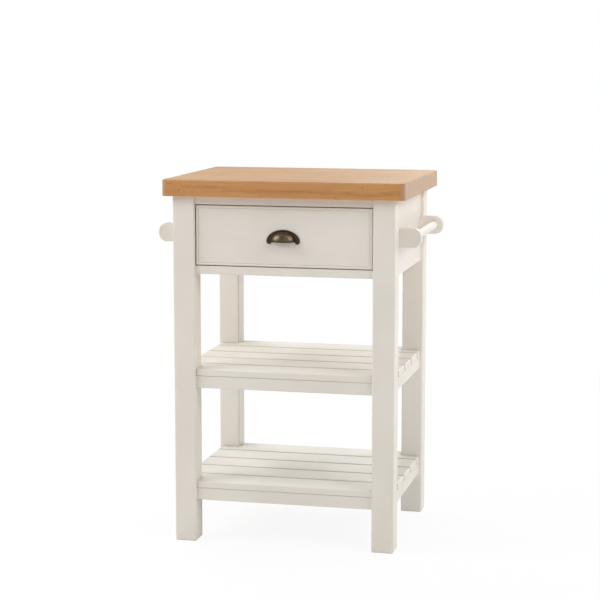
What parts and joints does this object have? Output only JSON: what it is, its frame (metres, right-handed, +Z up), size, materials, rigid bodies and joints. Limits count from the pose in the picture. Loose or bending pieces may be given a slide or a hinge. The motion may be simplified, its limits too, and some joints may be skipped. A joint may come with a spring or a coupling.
{
  "type": "butcher block kitchen island",
  "caption": "Small kitchen island with an oiled oak butcher block top, ivory painted legs, a drawer with a cup pull, slatted shelves and towel rails on both sides.",
  "frame": {"origin": "on the floor, midway between the four legs", "axes": "+X to the right of somebody facing the drawer, +Y to the back, +Z up"},
  "size_m": [0.656, 0.49, 0.9],
  "materials": {
    "oak_worktop": "oiled oak, satin",
    "ivory_paint": "ivory paint on hardwood, satin",
    "drawer_timber": "bare sanded hardwood",
    "drawer_base_board": "bare plywood",
    "aged_brass": "dark aged brass, satin",
    "zinc_steel": "bright zinc plated"
  },
  "bodies": {
    "frame": {"worktop_stave_01": "oak_worktop", "worktop_stave_02": "oak_worktop", "worktop_stave_03": "oak_worktop", "worktop_stave_04": "oak_worktop", "worktop_stave_05": "oak_worktop", "worktop_stave_06": "oak_worktop", "worktop_stave_07": "oak_worktop", "worktop_stave_08": "oak_worktop", "worktop_stave_09": "oak_worktop", "worktop_stave_10": "oak_worktop", "worktop_screws": "zinc_steel", "leg_front_left": "ivory_paint", "leg_front_right": "ivory_paint", "leg_back_left": "ivory_paint", "leg_back_right": "ivory_paint", "front_top_rail": "ivory_paint", "front_bottom_rail": "ivory_paint", "drawer_stops": "drawer_timber", "left_apron": "ivory_paint", "right_apron": "ivory_paint", "back_apron": "ivory_paint", "left_drawer_runner": "drawer_timber", "right_drawer_runner": "drawer_timber", "left_drawer_kicker": "drawer_timber", "right_drawer_kicker": "drawer_timber", "drawer_runner_screws": "zinc_steel", "upper_shelf_front_rail": "ivory_paint", "upper_shelf_back_rail": "ivory_paint", "upper_shelf_left_rail": "ivory_paint", "upper_shelf_right_rail": "ivory_paint", "upper_shelf_slat_1": "ivory_paint", "upper_shelf_slat_2": "ivory_paint", "upper_shelf_slat_3": "ivory_paint", "upper_shelf_slat_4": "ivory_paint", "upper_shelf_slat_5": "ivory_paint", "lower_shelf_front_rail": "ivory_paint", "lower_shelf_back_rail": "ivory_paint", "lower_shelf_left_rail": "ivory_paint", "lower_shelf_right_rail": "ivory_paint", "lower_shelf_slat_1": "ivory_paint", "lower_shelf_slat_2": "ivory_paint", "lower_shelf_slat_3": "ivory_paint", "lower_shelf_slat_4": "ivory_paint", "lower_shelf_slat_5": "ivory_paint", "shelf_slat_screws": "zinc_steel", "left_towel_bracket_front": "ivory_paint", "left_towel_bracket_back": "ivory_paint", "left_towel_rail": "ivory_paint", "right_towel_bracket_front": "ivory_paint", "right_towel_bracket_back": "ivory_paint", "right_towel_rail": "ivory_paint", "towel_bracket_screws": "zinc_steel"},
    "drawer": {"drawer_front": "ivory_paint", "drawer_left_side": "drawer_timber", "drawer_right_side": "drawer_timber", "drawer_back": "drawer_timber", "drawer_bottom": "drawer_base_board", "drawer_bottom_screws": "zinc_steel", "cup_pull": "aged_brass", "pull_screws": "zinc_steel"}
  },
  "joints": [
    {"name": "drawer_slide", "type": "slide", "parent": "frame", "child": "drawer", "axis": [0, -1, 0], "range_m": [0, 0.28]}
  ]
}
